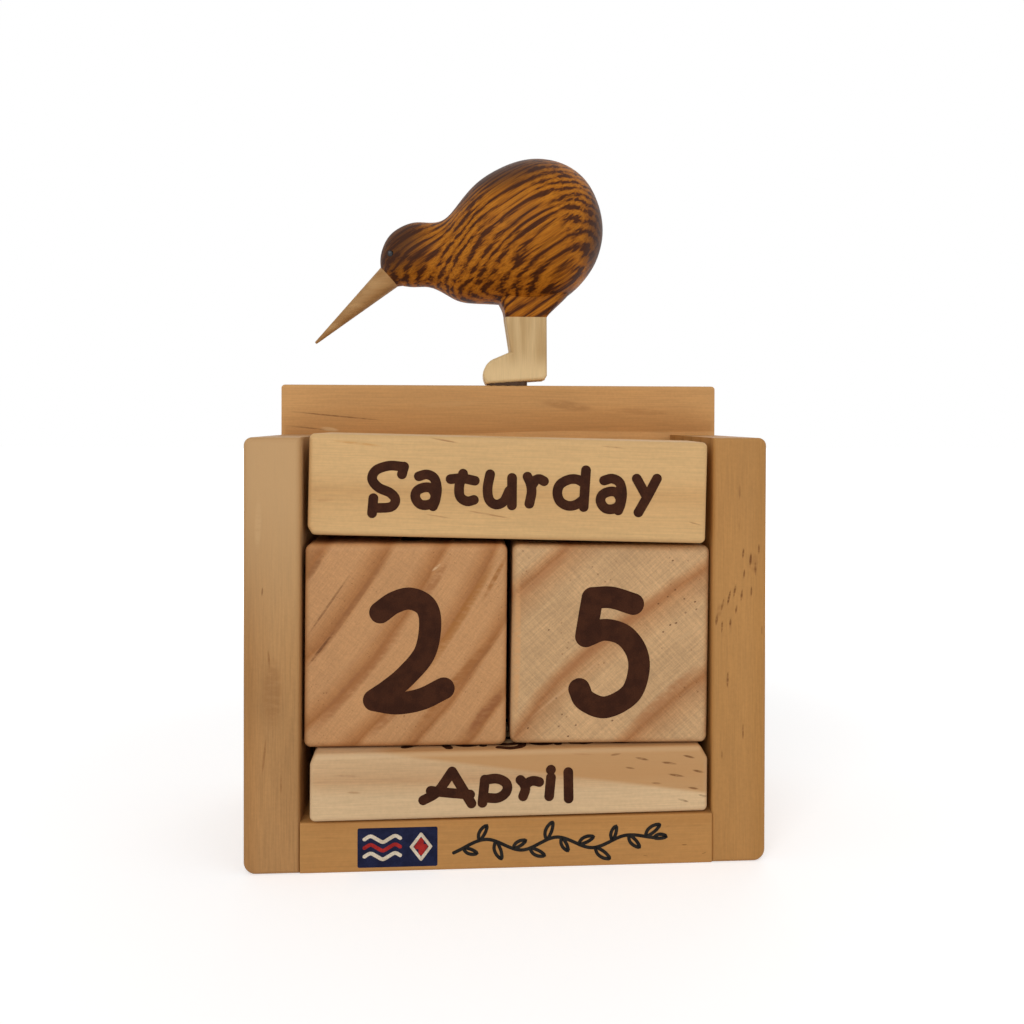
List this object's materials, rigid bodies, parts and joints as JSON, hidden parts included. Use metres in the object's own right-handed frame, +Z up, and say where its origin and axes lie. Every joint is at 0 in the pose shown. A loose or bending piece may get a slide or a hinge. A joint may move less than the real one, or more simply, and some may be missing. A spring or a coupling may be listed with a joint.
{
  "type": "perpetual desk calendar",
  "caption": "Wooden perpetual desk calendar: an open pine tray of loose weekday, number and month blocks, with a carved kiwi standing on its back board.",
  "frame": {"origin": "centre of the tray's footprint, on the surface it stands on", "axes": "+X to the right seen from the front, +Y from the open front to the back board, +Z up"},
  "size_m": [0.104, 0.066, 0.153],
  "materials": {
    "side_pine": "sanded, oiled pine",
    "shelf_pine": "sanded, oiled pine",
    "back_pine": "sanded, oiled pine",
    "cube_pine": "sanded pine with broad growth rings",
    "bar_pine": "sanded pale pine",
    "dowel_wood": "plain dowel, glued",
    "streaked_wood": "polished dark wood with orange streaks",
    "beak_wood": "turned tan wood",
    "leg_wood": "carved pale wood",
    "eye_bead": "gloss black bead",
    "brad_steel": "plain steel brad"
  },
  "bodies": {
    "frame": {"side_left": "side_pine", "side_right": "side_pine", "base_shelf": "shelf_pine", "back_board": "back_pine", "shelf_dowels": "dowel_wood", "back_brads": "brad_steel", "kiwi_body": "streaked_wood", "kiwi_beak": "beak_wood", "kiwi_eyes": "eye_bead", "kiwi_leg_left": "leg_wood", "kiwi_leg_right": "leg_wood", "foot_dowels": "dowel_wood", "hip_dowels": "dowel_wood"},
    "cube_left": {"number_cube_left": "cube_pine"},
    "cube_right": {"number_cube_right": "cube_pine"},
    "weekday_rear": {"weekday_bar_rear": "bar_pine"},
    "weekday_front": {"weekday_bar_front": "bar_pine"},
    "month_rear": {"month_bar_rear": "bar_pine"},
    "month_middle": {"month_bar_middle": "bar_pine"},
    "month_front": {"month_bar_front": "bar_pine"}
  },
  "joints": [
    {"name": "cube_left_slide", "type": "slide", "parent": "frame", "child": "cube_left", "axis": [0, -1, 0], "range_m": [0, 0.045]},
    {"name": "cube_right_slide", "type": "slide", "parent": "frame", "child": "cube_right", "axis": [0, -1, 0], "range_m": [0, 0.045]},
    {"name": "weekday_rear_slide", "type": "slide", "parent": "frame", "child": "weekday_rear", "axis": [0, -1, 0], "range_m": [0, 0.045]},
    {"name": "weekday_front_slide", "type": "slide", "parent": "weekday_rear", "child": "weekday_front", "axis": [0, -1, 0], "range_m": [0, 0.024]},
    {"name": "month_rear_slide", "type": "slide", "parent": "frame", "child": "month_rear", "axis": [0, -1, 0], "range_m": [0, 0.045]},
    {"name": "month_middle_slide", "type": "slide", "parent": "month_rear", "child": "month_middle", "axis": [0, -1, 0], "range_m": [0, 0.03]},
    {"name": "month_front_slide", "type": "slide", "parent": "month_middle", "child": "month_front", "axis": [0, -1, 0], "range_m": [0, 0.016]}
  ]
}
